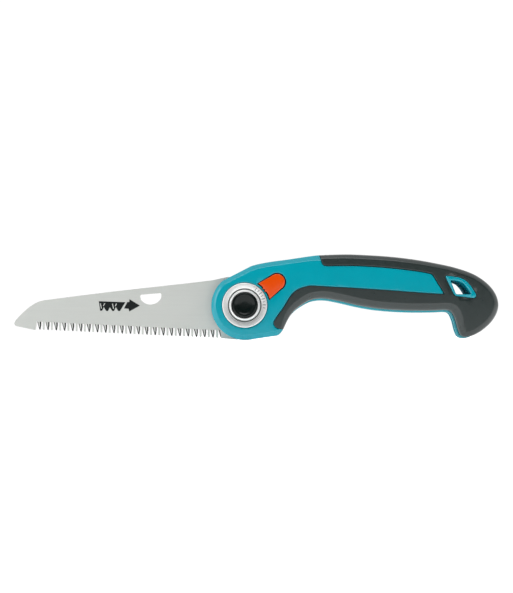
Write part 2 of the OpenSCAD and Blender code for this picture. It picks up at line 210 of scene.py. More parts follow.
def grid(step, low=(-30, -32), high=(190, 44)):
    """Points in offset rows over the handle, or over the box given."""
    x, z = np.meshgrid(np.arange(low[0], high[0], step), np.arange(low[1], high[1], step))
    x = x + step / 2 * (np.arange(len(z))[:, None] % 2)
    return np.stack([x.ravel(), z.ravel()], 1)


# ---------------------------------------------------------------- meshes
class Parts:
    """Vertices and faces of one piece, gathered solid by solid."""

    def __init__(self):
        self.verts = []
        self.faces = []
        self.marks = []

    def add(self, verts, faces, mark=0):
        """Takes in a solid. mark is its material's number, one for all faces or one for each."""
        base = len(self.verts)
        self.verts += [tuple(v) for v in verts]
        self.faces += [tuple(base + i for i in f) for f in faces]
        self.marks += list(mark) if hasattr(mark, "__len__") else [mark] * len(faces)

    def mirrored(self):
        other = Parts()
        other.verts = [(x, -y, z) for x, y, z in self.verts]
        other.faces = list(self.faces)
        other.marks = list(self.marks)
        return other

    def piece(self, name, body, materials, slot, sharp=32, weld=False):
        """Makes the object, with every face turned outwards. Positions here are (x, y, z) in
        millimetres about the pivot."""
        mesh = bpy.data.meshes.new(name)
        mesh.from_pydata([PIVOT + MM * Vector(v) for v in self.verts], [], self.faces)
        mesh.polygons.foreach_set("material_index", self.marks)
        mesh.polygons.foreach_set("use_smooth", [True] * len(mesh.polygons))
        skin = bmesh.new()
        skin.from_mesh(mesh)
        if weld:
            bmesh.ops.remove_doubles(skin, verts=skin.verts, dist=0.001 * MM)
        bmesh.ops.recalc_face_normals(skin, faces=skin.faces)
        skin.to_mesh(mesh)
        skin.free()
        mesh.update()
        mesh.set_sharp_from_angle(angle=math.radians(sharp))
        obj = bpy.data.objects.new(name, mesh)
        bpy.context.scene.collection.objects.link(obj)
        for material in materials:
            mesh.materials.append(material)
        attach(obj, body)
        return obj


def spaced(points, least=0.07):
    """The points without any that all but coincides with an earlier one."""
    cells = {}
    kept = []
    for p in points:
        i, j = int(p[0] // least), int(p[1] // least)
        near = [q for di in (-1, 0, 1) for dj in (-1, 0, 1) for q in cells.get((i + di, j + dj), ())]
        if all((p[0] - q[0]) ** 2 + (p[1] - q[1]) ** 2 > least ** 2 for q in near):
            cells.setdefault((i, j), []).append(p)
            kept.append(p)
    return np.array(kept)


def triangulate(loops, extra):
    """Points and triangles that fill the first loop, leaving the other loops open."""
    points = np.concatenate([loop[:, :2] for loop in loops])
    edges = []
    base = 0
    for loop in loops:
        n = len(loop)
        edges += [(base + i, base + (i + 1) % n) for i in range(n)]
        base += n
    if extra is not None and len(extra):
        extra = extra[inside(loops, extra)]
        clear = np.ones(len(extra), bool)
        for loop in loops:
            clear &= nearest(loop, extra)[0] > 0.05
        points = np.concatenate([points, spaced(extra[clear])])
    result = delaunay_2d_cdt([Vector(p) for p in points], edges, [], 0, 1e-4)
    verts = np.array([tuple(v) for v in result[0]])
    tris = np.array([tuple(f) for f in result[2]])
    centres = verts[tris].mean(1)
    tris = tris[inside(loops, centres)]
    a, b, c = verts[tris[:, 0]], verts[tris[:, 1]], verts[tris[:, 2]]
    area = (b[:, 0] - a[:, 0]) * (c[:, 1] - a[:, 1]) - (c[:, 0] - a[:, 0]) * (b[:, 1] - a[:, 1])
    tris = tris[np.abs(area) > 1e-7]
    flip = area[np.abs(area) > 1e-7] < 0
    tris[flip] = tris[flip][:, ::-1]
    return verts, tris


def border(tris):
    """Directed edges that only one triangle has."""
    seen = {}
    for a, b, c in tris:
        for e in ((a, b), (b, c), (c, a)):
            seen[e] = True
    return [e for e in seen if (e[1], e[0]) not in seen]


def pad(parts, loops, extra, top, bottom, draft=None):
    """Closed solid over a flat region. top and bottom give the depth at each point; top is further
    from the mid plane, on the near side. draft moves the lower points in the plane, and the side
    walls then get the second material."""
    verts, tris = triangulate(loops, extra)
    used = np.unique(tris)
    order = -np.ones(len(verts), int)
    order[used] = np.arange(len(used))
    verts, tris = verts[used], order[tris]
    n = len(verts)
    upper = [(x, -y, z) for (x, z), y in zip(verts, np.broadcast_to(top(verts), n))]
    base = draft(verts) if draft else verts
    lower = [(x, -y, z) for (x, z), y in zip(base, np.broadcast_to(bottom(verts), n))]
    faces = [tuple(t) for t in tris]
    faces += [(n + c, n + b, n + a) for a, b, c in tris]
    sides = [(b, a, n + a, n + b) for a, b in border(tris)]
    parts.add(upper + lower, faces + sides, [0] * len(faces) + [1 if draft else 0] * len(sides))


def lathe(parts, profile, steps=144):
    """Closed turned solid about the pivot. The profile is (radius, depth) and may touch the axis."""
    verts, rings = [], []
    for r, y in profile:
        if r < 1e-6:
            rings.append([len(verts)] * steps)
            verts.append((0, -y, 0))
        else:
            rings.append(list(range(len(verts), len(verts) + steps)))
            for k in range(steps):
                a = 2 * math.pi * k / steps
                verts.append((r * math.cos(a), -y, r * math.sin(a)))
    faces = []
    closed = profile[0][0] > 1e-6 and profile[-1][0] > 1e-6
    for low, high in zip(rings, rings[1:] + ([rings[0]] if closed else [])):
        for k in range(steps):
            m = (k + 1) % steps
            quad = [low[k], low[m], high[m], high[k]]
            face = [v for i, v in enumerate(quad) if v != quad[i - 1]]
            if len(face) > 2:
                faces.append(tuple(face))
    parts.add(verts, faces)


def soften(profile, cut, steps=3):
    """Turned profile with its corners rounded, its ends kept."""
    p = [np.array(q, float) for q in profile]
    out = [tuple(p[0])]
    for a, b, c in zip(p, p[1:], p[2:]):
        la, lc = np.linalg.norm(a - b), np.linalg.norm(c - b)
        k = min(cut, 0.45 * la, 0.45 * lc)
        start, end = b + k * (a - b) / la, b + k * (c - b) / lc
        for t in np.linspace(0, 1, steps + 1):
            out.append(tuple((1 - t) ** 2 * start + 2 * t * (1 - t) * b + t * t * end))
    out.append(tuple(p[-1]))
    return out


# ---------------------------------------------------------------- materials
def material(name):
    """A new material with its principled shader and an object-space coordinate."""
    m = bpy.data.materials.new(name)
    m.use_nodes = True
    nodes, links = m.node_tree.nodes, m.node_tree.links
    shader = nodes["Principled BSDF"]
    coord = nodes.new("ShaderNodeTexCoord").outputs["Object"]
    return m, nodes, links, shader, coord


def noise(nodes, links, coord, scale, detail=3.0, stretch=None, roughness=0.5):
    if stretch:
        mapping = nodes.new("ShaderNodeMapping")
        mapping.inputs["Scale"].default_value = stretch
        links.new(coord, mapping.inputs["Vector"])
        coord = mapping.outputs["Vector"]
    n = nodes.new("ShaderNodeTexNoise")
    n.inputs["Scale"].default_value = scale
    n.inputs["Detail"].default_value = detail
    n.inputs["Roughness"].default_value = roughness
    links.new(coord, n.inputs["Vector"])
    return n.outputs["Fac"]


def shades(nodes, links, fac, colour, variation):
    """Spreads a 0 to 1 value between a darker and a lighter shade of a colour."""
    r = nodes.new("ShaderNodeValToRGB")
    for element, at, sign in zip(r.color_ramp.elements, (0.3, 0.7), (-1, 1)):
        element.position = at
        element.color = (*(min(1, c * (1 + sign * variation)) for c in colour), 1)
    links.new(fac, r.inputs["Fac"])
    return r.outputs["Color"]


def span(nodes, links, fac, low, high):
    """Spreads a 0 to 1 value between two numbers."""
    r = nodes.new("ShaderNodeMapRange")
    r.inputs["To Min"].default_value = low
    r.inputs["To Max"].default_value = high
    links.new(fac, r.inputs["Value"])
    return r.outputs["Result"]


def bump(nodes, links, shader, height, distance):
    b = nodes.new("ShaderNodeBump")
    b.inputs["Distance"].default_value = distance
    links.new(height, b.inputs["Height"])
    links.new(b.outputs["Normal"], shader.inputs["Normal"])


def moulded(name, colour, variation, roughness, grain, depth, scale=900, specular=0.5):
    """Moulded plastic or rubber: slight colour drift, mottled gloss and a fine surface grain."""
    m, nodes, links, shader, coord = material(name)
    drift = noise(nodes, links, coord, 45, 4)
    links.new(shades(nodes, links, drift, colour, variation), shader.inputs["Base Color"])
    mottle = noise(nodes, links, coord, 260, 3)
    links.new(span(nodes, links, mottle, roughness - 0.05, roughness + 0.06), shader.inputs["Roughness"])
    shader.inputs["Specular IOR Level"].default_value = specular
    bump(nodes, links, shader, noise(nodes, links, coord, scale, grain), depth)
    return m


def metal(name, colour, roughness, stretch, scale=400, depth=0.00002, metallic=1.0, variation=0.06):
    """Worked metal: fine lines along one direction in colour, gloss and relief."""
    m, nodes, links, shader, coord = material(name)
    lines = noise(nodes, links, coord, scale, 5, stretch, 0.6)
    links.new(shades(nodes, links, lines, colour, variation), shader.inputs["Base Color"])
    links.new(span(nodes, links, lines, roughness - 0.06, roughness + 0.08), shader.inputs["Roughness"])
    shader.inputs["Metallic"].default_value = metallic
    bump(nodes, links, shader, lines, depth)
    return m


def turned_metal(name, colour, roughness, variation):
    """Metal turned on a lathe about the pivot: fine rings in gloss and relief."""
    m, nodes, links, shader, coord = material(name)
    shift = nodes.new("ShaderNodeVectorMath")
    shift.operation = "SUBTRACT"
    shift.inputs[1].default_value = PIVOT
    links.new(coord, shift.inputs[0])
    flat = nodes.new("ShaderNodeVectorMath")
    flat.operation = "MULTIPLY"
    flat.inputs[1].default_value = (1, 0, 1)
    links.new(shift.outputs["Vector"], flat.inputs[0])
    radius = nodes.new("ShaderNodeVectorMath")
    radius.operation = "LENGTH"
    links.new(flat.outputs["Vector"], radius.inputs[0])
    rings = nodes.new("ShaderNodeTexNoise")
    rings.noise_dimensions = "1D"
    rings.inputs["Scale"].default_value = 5200
    rings.inputs["Detail"].default_value = 3
    links.new(radius.outputs["Value"], rings.inputs["W"])
    fac = rings.outputs["Fac"]
    links.new(shades(nodes, links, fac, colour, variation), shader.inputs["Base Color"])
    links.new(span(nodes, links, fac, roughness - 0.05, roughness + 0.08), shader.inputs["Roughness"])
    shader.inputs["Metallic"].default_value = 0.9
    bump(nodes, links, shader, fac, 0.00002)
    return m


TEAL = moulded("teal_plastic", (0.0, 0.315, 0.395), 0.03, 0.14, 4, 0.000002, 2600, 0.5)
# Matt teal, darker than the face: a matt finish plus painted shade on the hanging hole's inner wall
TEAL_MATT_WALL_SHADE = moulded("teal_plastic_matt_wall_shade", (0.0, 0.17, 0.23), 0.08, 0.85, 8, 0.00010, 900, 0.05)
GREY = moulded("soft_grip", (0.010, 0.020, 0.019), 0.10, 0.29, 6, 0.000010, 1800, 0.75)
ORANGE = moulded("orange_plastic", (0.72, 0.066, 0.0), 0.03, 0.17, 4, 0.000002, 2600, 0.5)
# Black of the pivot caps; on the lock button's flange the same black is painted shade in the gap round
# the button
BLACK_AND_GAP_SHADE = moulded("black_plastic", (0.004, 0.0075, 0.007), 0.10, 0.18, 4, 0.000002, 2000, 0.25)
PRINT = moulded("print_black", (0.008, 0.011, 0.011), 0.10, 0.6, 4, 0.000004, 2000, 0.12)
WHITE_POLYMER = moulded("white_polymer", (0.78, 0.77, 0.73), 0.03, 0.5, 4, 0.00002)
STEEL = metal("blade_steel", (0.585, 0.605, 0.58), 0.44, (0.06, 1, 1), 900, 0.000006, 0.45, 0.02)
GROUND = metal("ground_steel", (0.022, 0.024, 0.024), 0.5, (1, 1, 0.1), 1400, 0.000005, 0.5, 0.15)
INNER = metal("inner_steel", (0.35, 0.36, 0.37), 0.42, (0.2, 1, 1))
ZINC = metal("zinc_steel", (0.56, 0.58, 0.60), 0.36, (1, 0.3, 1))
SPRING = metal("spring_steel", (0.25, 0.26, 0.27), 0.35, (1, 1, 0.3))
BRASS = metal("bush_brass", (0.60, 0.42, 0.16), 0.35, (1, 0.2, 1))
BEZEL = turned_metal("bezel_metal", (0.86, 0.87, 0.865), 0.33, 0.14)
# Dark fill of the printed setting marks; in the bezel's groove the same fill is painted shade
MARK_AND_GROOVE_SHADE = moulded("mark_fill_and_groove_shade", (0.10, 0.11, 0.11), 0.2, 0.5, 4, 0.00001, 1600, 0.4)

# Finishes of the inner CAD nodes, which keep their shapes
for names, m in (
        (["near_bearing_plate", "far_bearing_plate", "lock_pin"], INNER),
        (["near_friction_washer", "far_friction_washer"], WHITE_POLYMER),
        (["pivot_bush"], BRASS),
        (["pivot_bolt", "flat_washer", "pivot_nut", "shell_screws"], ZINC),
        (["spring_washer"], SPRING)):
    for node in names:
        mesh = frame["nodes"][node].data
        mesh.materials.clear()
        mesh.materials.append(m)

# ---------------------------------------------------------------- handle outline
# Each point of the handle's outline: x, z, width of the rounded edge, how far the slot's lip
# stands out of the soft grip there, and 1 where the slot is open
head_curve = np.array([(x, z, 3.6, 0, 1) for x, z in arc((0.3, -0.4), 24.4, 132, 276, 60)])
under_curve = spline([
    (15, -22.8, 3.6, 0, 1), (22.6, -21.7, 3.4, 0, 1), (25.3, -20.1, 3.0, 0, 1), (27.5, -17.1, 3.0, 0, 1),
    (30.9, -10.2, 4.2, 0, 1), (34.7, -5.1, 5, 0.2, 1), (40.2, -0.9, 5.4, 0.5, 1),
    (47.8, 2.9, 5.8, 0.8, 1), (56.7, 3.8, 6, 0.9, 1), (67.5, 2, 6, 0.9, 1), (79.4, -0.8, 6, 0.9, 1),
    (91.6, -3, 6, 0.9, 1), (105.6, -4.4, 6, 0.9, 1), (121.5, -5, 6, 0.9, 1), (135.5, -4.9, 6, 0.9, 1),
    (144.2, -4.6, 6, 0.9, 1), (147.6, -5.9, 6, 0.9, 1), (149.9, -10.9, 5.8, 0.9, 1),
    (151.6, -17.7, 5.2, 0.9, 1)], 8)
back_curve = spline([
    (147.6, -5.9, 6, 0.9, 1), (149.9, -10.9, 5.8, 0.9, 1), (151.6, -17.7, 5.2, 0.9, 1),
    (153.9, -22.3, 4.6, 0.9, 1), (158, -23.5, 4.4, 0.7, 1), (163.6, -21.7, 4.6, 0.3, 1),
    (170, -17.7, 5, 0, 0), (176.4, -12, 5.2, 0, 0), (180.6, -5.2, 5.4, 0, 0), (181.7, 1.7, 5.4, 0, 0),
    (179.2, 9.4, 5.4, 0, 0), (173.1, 16.5, 5.2, 0, 0), (163.6, 22.7, 5, 0, 0), (150.7, 27.2, 4.8, 0, 0),
    (136.9, 30.3, 4.6, 0, 0), (123, 32.8, 4.6, 0, 0), (107.1, 34.8, 4.6, 0, 0), (91.3, 36, 4.6, 0, 0),
    (73.4, 36.7, 4.4, 0, 0), (55.6, 36.2, 4.2, 0, 0), (47, 35.4, 3.8, 0, 0), (31.5, 33.1, 3.6, 0, 0),
    (16.3, 31, 3.6, 0, 0), (4.3, 28.2, 3.6, 0, 0), (-6, 22.8, 3.6, 0, 1)], 8)
outline = refine(np.concatenate([head_curve, under_curve, back_curve[1:]]), 1.0)
full_lip = 0.9                   # the lip's value above where it stands out by LIP_OUT
outline[:, 3] = np.clip(outline[:, 3] * LIP_OUT / full_lip, 0, LIP_OUT)
grip_rim = inset(outline, outline[:, 3])

panel_edge = spline([
    (52.3, 44), (53.1, 38), (54.3, 33), (55.4, 29.8), (57.7, 28.2), (65, 28.2), (78, 28.2),
    (90.7, 27.6), (104.5, 26.5), (116.3, 25.2), (126.1, 23.8), (132.4, 22.5), (134.6, 20.8),
    (137.9, 15.3), (141.5, 9.2), (140.8, 8.1), (134, 8.4), (122.2, 9.2), (104.5, 10.6), (88.7, 11.6),
    (76.9, 12.4), (63.1, 13.1), (53.3, 13.7), (47.4, 14), (42.4, 13.1), (37.8, 11.2), (33.2, 7.4),
    (27.7, -1.4), (22.7, -8.4), (20.6, -12.6), (22.2, -15.9), (25.8, -17.1), (29.5, -17.4), (34, -18)], 8)
slot_roof = np.array([
    (3, 60), (3, 25.6), (9.6, 25.6), (20.5, 23.3), (151, 3.5), (155, 3), (167.5, -1.2),
    (170.4, -4), (170, -14), (169, -23), (168.5, -30)], float)
hang_rim = rounded([(149.7, 6.7), (164.2, 5), (165.1, 7.6), (161.2, 13.9), (157.5, 17.9), (153.2, 19.9),
                    (142.8, 21.2)], [1.8, 1.3, 1.3, 2.1, 2.1, 2.1, 1.9], 8)
hang_hole = rounded([(150.7, 7.9), (161.4, 7.8), (158.5, 12.5), (155.5, 15.9), (152.3, 17.2),
                     (146.7, 18)], [1, 1, 1.5, 1.5, 1.5, 1], 8)


def crossings(loop, curve):
    """Where an open curve crosses a closed loop: (index on the loop, index on the curve, point)."""
    found = []
    for j, (c, d) in enumerate(zip(curve, curve[1:])):
        for i, (a, b) in enumerate(zip(loop[:, :2], np.roll(loop[:, :2], -1, 0))):
            m = np.array([b - a, c[:2] - d[:2]]).T
            if abs(np.linalg.det(m)) < 1e-9:
                continue
            s, t = np.linalg.solve(m, c[:2] - a)
            if 0 <= s < 1 and 0 <= t < 1:
                found.append((i, j, a + s * (b - a)))
    return found


def between(loop, first, last):
    """Points of a closed loop after index first, up to index last."""
    n = len(loop)
    return loop[[(first + k) % n for k in range(1, (last - first) % n + 1)]]


def cut_loop(loop, curve):
    """Splits a closed loop along a curve: the part left of the curve's start, and the other part."""
    hits = crossings(loop, curve)
    (i0, j0, p0), (i1, j1, p1) = hits[0], hits[-1]
    middle = curve[j0 + 1:j1 + 1]
    one = np.concatenate([[p0], between(loop, i0, i1)[:, :2], [p1], middle[::-1]])
    other = np.concatenate([[p1], between(loop, i1, i0)[:, :2], [p0], middle])
    return tidy(one), tidy(other)


def tidy(loop, least=0.08):
    """Closed loop without points that all but coincide."""
    keep = [loop[0]]
    for p in loop[1:]:
        if np.linalg.norm(p - keep[-1]) > least:
            keep.append(p)
    if np.linalg.norm(keep[0] - keep[-1]) <= least:
        keep.pop()
    return np.array(keep)


hard_loop = refine(cut_loop(outline, panel_edge)[0], 1.0)
grip_loop = refine(cut_loop(grip_rim, panel_edge)[1], 1.0)
grip_loop = inset(grip_loop, np.where(nearest(hard_loop, grip_loop)[0] < 0.03, SLIT, 0))


def turn(points, angle):
    c, s = math.cos(angle), math.sin(angle)
    return points @ np.array([[c, s], [-s, c]])


def button_loop(grow, nub=True):
    """Outline of the lock button, larger all round by grow, with or without the two small nubs on
    its side towards the pivot."""
    a = math.degrees(math.asin((BUTTON_HALF_W + grow) / BUTTON_IN_R))
    inner = arc((0, 0), BUTTON_IN_R - grow, a, -a, 40)
    if nub:
        nub_height, nub_width = 1.0, 0.6
        for at in (-0.4, 1.8):
            inner[:, 0] -= nub_height * np.exp(-((inner[:, 1] - at) / nub_width) ** 2)
    end = arc((BUTTON_C, 0), BUTTON_END_R + grow, -96, 96, 40)
    return turn(np.concatenate([end, inner]), BUTTON_DIR)


# ---------------------------------------------------------------- hard shells
EDGE_DEPTH = 2.9                 # depth of the head's rounded edge
EDGE_CHAMFER = 0.75              # share of it that is plain chamfer
HEAD_CROWN = 0.06                # how much the flat of the head bulges
HOLE_EDGE = (0.4, 0.35)          # radius and depth of the rounding round an opening
PLATE_R = 15                     # round part of a bearing plate about the pivot
PLATE_LUG_R = 5                  # its round part about the lock pin
PLATE_ARM_HALF = 4               # half the width of the arm between them


def crown(points, height, reach=16):
    """How far a bulging surface has risen, from the handle's edge to its full height at reach."""
    d = nearest(outline, points)[0]
    return height * (1 - (1 - np.clip(d / reach, 0, 1)) ** 2)


def hole_drop(points, holes):
    """How far a face has dropped at the rounded edges of its openings."""
    return sum(fillet(nearest(hole, points)[0], *HOLE_EDGE) for hole in holes)


def hole_rings(hole):
    return ring_points(hole, (-0.1, -0.22, -0.4, -0.8))


def plate_loop(grow):
    """Outline of a bearing plate, larger all round by grow."""
    main_r, lug_r, half_arm = PLATE_R + grow, PLATE_LUG_R + grow, PLATE_ARM_HALF + grow
    main = math.degrees(math.asin(half_arm / main_r))
    lug = 180 - math.degrees(math.asin(half_arm / lug_r))
    return turn(np.concatenate([arc((0, 0), main_r, main, 360 - main, 80),
                                arc((PIN_AT_R, 0), lug_r, -lug, lug, 40)]), BUTTON_DIR)


def hard_shell(parts, holes, pin_pocket=0):
    """One hard half. pin_pocket is how deep the lock pin's end dips into it behind the plate."""
    pin_at = turn(np.array([[PIN_AT_R, 0.0]]), BUTTON_DIR)[0]

    # head and panel
    def head_top(points):
        d, width = nearest(outline, points, outline[:, 2])
        y = FACE_Y - HEAD_CROWN + crown(points, HEAD_CROWN) - creased(d, width, EDGE_DEPTH, EDGE_CHAMFER)
        panel_edge_drop = fillet(nearest(hard_loop, points)[0], 0.5, 0.6)
        return y - np.where(d > width, panel_edge_drop, 0) - hole_drop(points, holes)

    def head_bottom(points):
        return LIP_Y + pin_pocket * (np.linalg.norm(points - pin_at, axis=1) < PIN_R + 0.3)

    extra = np.concatenate([fillet_rings(outline, outline[:, 2]),
                            ring_points(hard_loop, (0.1, 0.22, 0.4, 0.7)), grid(2.5)]
                           + [circle(pin_at, PIN_R + d, 48) for d in (0.25, 0.37)]
                           + [hole_rings(h) for h in holes])
    pad(parts, [hard_loop] + holes, extra, head_top, head_bottom)

    # wall beside the slot, with its lips; where a grip wraps the closed back it steps inwards
    wrapped = (outline[:, 4] < 0.5) & (outline[:, 0] > 53.6)
    wall_loop = tidy(inset(outline, np.where(wrapped, GRIP_WALL, 0))[:, :2])

    def wall_top(points):
        d, lip = nearest(outline, points, outline[:, 3])
        return LIP_Y - (lip > 0.3) * fillet(d, 0.5, 0.45)

    def wall_bottom(points):
        d, is_open = nearest(outline, points, outline[:, 4])
        return SLOT_Y + (is_open > 0.5) * fillet(d, 0.5, 0.4)

    pad(parts, [wall_loop, plate_loop(0.1), hang_rim], ring_points(outline, (0.12, 0.3, 0.5)),
        wall_top, wall_bottom)

    # back wall, where the two halves meet: the side of the slot's roof with the handle's end
    handle_end = np.array([[176.0, 0.0]])
    back = next(side for side in cut_loop(wall_loop, slot_roof) if inside([side], handle_end)[0])

    def seam_bottom(points):
        return PARTING_Y + fillet(nearest(wall_loop, points)[0], 0.25, 0.22)

    pad(parts, [refine(back, 2.0), hang_rim], ring_points(back, (0.12, 0.25)),
        lambda p: SLOT_Y, seam_bottom)

    # raised rim of the hanging hole, whose inner wall leans in, most of all at the upper right
    rim_rings = np.concatenate([ring_points(hang_rim, (0.1, 0.25, 0.5, 0.8)),
                                ring_points(hang_hole, (-0.1, -0.25, -0.5, -0.8))])

    def rim_top(points):
        edge = np.minimum(nearest(hang_rim, points)[0], nearest(hang_hole, points)[0])
        return RIM_Y - fillet(edge, 0.8, 0.7)

    centre = hang_hole.mean(0)
    lean, more_lean = 0.6, 1.1
    to_lower_left = np.array([-0.64, -0.77])

    def taper(points):
        share = np.clip(1 - nearest(hang_hole, points)[0] / 1.5, 0, 1)
        inward = centre - points
        inward /= np.linalg.norm(inward, axis=1)[:, None]
        facing = np.clip(inward @ to_lower_left, 0, 1)
        return points + inward * ((lean + more_lean * facing) * share)[:, None]

    # The rim's side walls take the second material, the darker matt teal: painted shade on the hanging
    # hole's inner wall
    pad(parts, [hang_rim, hang_hole], rim_rings, rim_top, lambda p: PARTING_Y, taper)


bezel_hole = circle((0, 0), BEZEL_R + BEZEL_GAP, 120)
screw_wells = [circle(s, SCREW_WELL_R, 36) for s in SCREWS]

near_shell = Parts()
hard_shell(near_shell, [bezel_hole, button_loop(BUTTON_GAP)])
near_shell_piece = near_shell.piece("near_shell_moulding", HANDLE, [TEAL, TEAL_MATT_WALL_SHADE], "teal_plastic")
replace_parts(near_shell_piece, "near_shell")

far_shell = Parts()
hard_shell(far_shell, [bezel_hole] + screw_wells[:3], pin_pocket=3.2)
far_shell_piece = far_shell.mirrored().piece("far_shell_moulding", HANDLE, [TEAL, TEAL_MATT_WALL_SHADE],
                                             "teal_plastic")
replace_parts(far_shell_piece, "far_shell")


# ---------------------------------------------------------------- soft grips
GRIP_EDGE_SHARE = 0.78           # width of the grips' rounded edge, as a share of the outline's
GRIP_EDGE_DEPTH = 1.1            # its depth, as a share of its width
GRIP_CHAMFER = 0.3               # share of its depth that is plain chamfer
GRIP_CROWN = 0.1                 # how much the grips' faces bulge


def soft_grip(parts, holes):
    edge_width = GRIP_EDGE_SHARE * grip_rim[:, 2]

    def top(points):
        d, width = nearest(grip_rim, points, edge_width)
        y = GRIP_Y - GRIP_CROWN + crown(points, GRIP_CROWN)
        y -= creased(d, width, width * GRIP_EDGE_DEPTH, GRIP_CHAMFER)
        panel = nearest(hard_loop, points)[0] - SLIT
        rim = nearest(hang_rim, points)[0] - SLIT
        y -= (d > width * 0.4) * fillet(panel, 0.35, 0.3) + fillet(rim, 0.35, 0.3)
        return y - hole_drop(points, holes)

    def bottom(points):
        d, is_open = nearest(grip_rim, points, grip_rim[:, 4])
        side = np.where(is_open > 0.5, LIP_Y, PARTING_Y)
        return np.where(d < GRIP_WALL, side, GRIP_BED_Y)

    outside = (-0.38, -0.5, -0.65, -0.9)
    extra = np.concatenate([fillet_rings(grip_rim, edge_width), ring_points(hard_loop, outside),
                            ring_points(hang_rim, outside), grid(2.5)]
                           + [hole_rings(h) for h in holes])
    pad(parts, [grip_loop, inset(hang_rim, -SLIT)] + holes, extra, top, bottom)


near_grip = Parts()
soft_grip(near_grip, [])
near_grip_piece = near_grip.piece("near_soft_grip", HANDLE, [GREY], "soft_grip", 40)
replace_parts(near_grip_piece, "near_grip")

far_grip = Parts()
soft_grip(far_grip, screw_wells[3:])
far_grip_piece = far_grip.mirrored().piece("far_soft_grip", HANDLE, [GREY], "soft_grip", 40)
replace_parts(far_grip_piece, "far_grip")

# ---------------------------------------------------------------- pivot bezels and caps
BEZEL_PROFILE = [
    (CAP_R + 0.12, BEZEL_SEAT_Y), (BEZEL_R, BEZEL_SEAT_Y), (BEZEL_R, FACE_Y + 0.95),
    (BEZEL_R - 0.4, FACE_Y + 1.3), (12.2, FACE_Y + 1.1), (12.0, FACE_Y + 0.9),
    (11.9, FACE_Y + 0.4), (11.2, FACE_Y + 0.4), (11.1, FACE_Y + 1.5), (10.5, COLLAR_Y - 0.35),
    (10.2, COLLAR_Y), (9.7, COLLAR_Y), (CAP_R + 0.2, COLLAR_Y - 0.5), (CAP_R + 0.12, COLLAR_Y - 1.0)]
CAP_PROFILE = [
    (0, COLLAR_Y - 1.35), (3.0, COLLAR_Y - 1.3), (5.5, COLLAR_Y - 1.0), (6.7, COLLAR_Y - 0.45),
    (7.4, COLLAR_Y - 0.22), (8.3, COLLAR_Y - 0.25), (CAP_R - 0.1, COLLAR_Y - 0.7),
    (CAP_R, COLLAR_Y - 1.2), (CAP_R, 9.5), (CAP_R - 1.1, 9.5), (CAP_R - 1.1, COLLAR_Y - 1.8),
    (6.0, COLLAR_Y - 2.0), (0, COLLAR_Y - 2.2)]


def marks(parts):
    """Filled setting marks on the bezel's flat face, which falls slightly towards the groove."""
    slope = -math.atan2(0.2, 3.3)
    half_w, waist_w, bevel = 0.2, 0.17, 0.12
    for k in range(8):
        angle = math.radians(-8 + 9 * k)
        half = 1.25 if k % 2 else 0.8
        inner = half - bevel
        radial = Vector((math.cos(angle), 0, math.sin(angle)))
        across = Vector((-math.sin(angle), 0, math.cos(angle)))
        along = radial * math.cos(slope) + Vector((0, 1, 0)) * math.sin(slope)
        normal = -Vector((0, 1, 0)) * math.cos(slope) + radial * math.sin(slope)
        centre = radial * 13.95 + Vector((0, -(FACE_Y + 1.2), 0))
        verts = []
        for lift in (-0.2, 0.03):
            for u, v in ((-half, -waist_w), (-inner, -half_w), (inner, -half_w), (half, -waist_w),
                         (half, waist_w), (inner, half_w), (-inner, half_w), (-half, waist_w)):
                verts.append(tuple(centre + along * u + across * v + normal * lift))
        n = 8
        faces = [tuple(range(n)), tuple(range(2 * n - 1, n - 1, -1))]
        faces += [(i, n + i, n + (i + 1) % n, (i + 1) % n) for i in range(n)]
        parts.add(verts, faces)


for side in ("near", "far"):
    bezel = Parts()
    lathe(bezel, soften(BEZEL_PROFILE, 0.16))
    # Faces deep in the groove round the collar take the dark mark fill: painted shade in the groove, not
    # a real filling
    for i, face in enumerate(bezel.faces):
        x, y, z = np.mean([bezel.verts[v] for v in face], 0)
        groove_shade_faces = 11.05 < math.hypot(x, z) < 12.05 and FACE_Y < -y < FACE_Y + 0.85
        bezel.marks[i] = int(groove_shade_faces)
    cap = Parts()
    lathe(cap, soften(CAP_PROFILE, 0.5))
    ticks = Parts()
    marks(ticks)
    if side == "far":
        bezel, cap, ticks = bezel.mirrored(), cap.mirrored(), ticks.mirrored()
    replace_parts(bezel.piece(side + "_bezel_ring", HANDLE, [BEZEL, MARK_AND_GROOVE_SHADE], "bezel_metal", 30),
                side + "_bezel")
    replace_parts(cap.piece(side + "_cap_dished", HANDLE, [BLACK_AND_GAP_SHADE], "black_plastic", 30), side + "_cap")
    ticks.piece(side + "_bezel_marks", HANDLE, [MARK_AND_GROOVE_SHADE], "black_plastic")

# ---------------------------------------------------------------- lock button
BUTTON_TOP_Y = FACE_Y + 0.6
FLANGE_TOP_Y = 7.3
FLANGE_FOOT_Y = 6.4
button = Parts()
button_edge = refine(button_loop(0), 0.7)


def button_top(points):
    d = nearest(button_edge, points)[0]
    return BUTTON_TOP_Y - 0.15 + 0.15 * np.clip(d / 4, 0, 1) - fillet(d, 0.6, 0.55)


pad(button, [button_edge],
    np.concatenate([ring_points(button_edge, (0.08, 0.2, 0.35, 0.55, 0.8, 1.3)),
                    grid(1.2, (0, -5), (40, 30))]),
    button_top, lambda p: FLANGE_TOP_Y)
# The flange takes the black material: painted shade seen down the gap round the button, not the flange's
# own colour
flange = Parts()
pad(flange, [button_loop(FLANGE_OUT, nub=False)], None, lambda p: FLANGE_TOP_Y, lambda p: FLANGE_FOOT_Y)
button.add(flange.verts, flange.faces, 1)
button_piece = button.piece("lock_button_cap", LOCK, [ORANGE, BLACK_AND_GAP_SHADE], "orange_plastic")
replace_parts(button_piece, "lock_button")

# ---------------------------------------------------------------- button spring
SPRING_R = 3.4
WIRE_R = 0.3
SPRING_TOP_Y = 9.4               # bottom of the well in the button
SPRING_FOOT_Y = 2.8              # back of the bearing plate


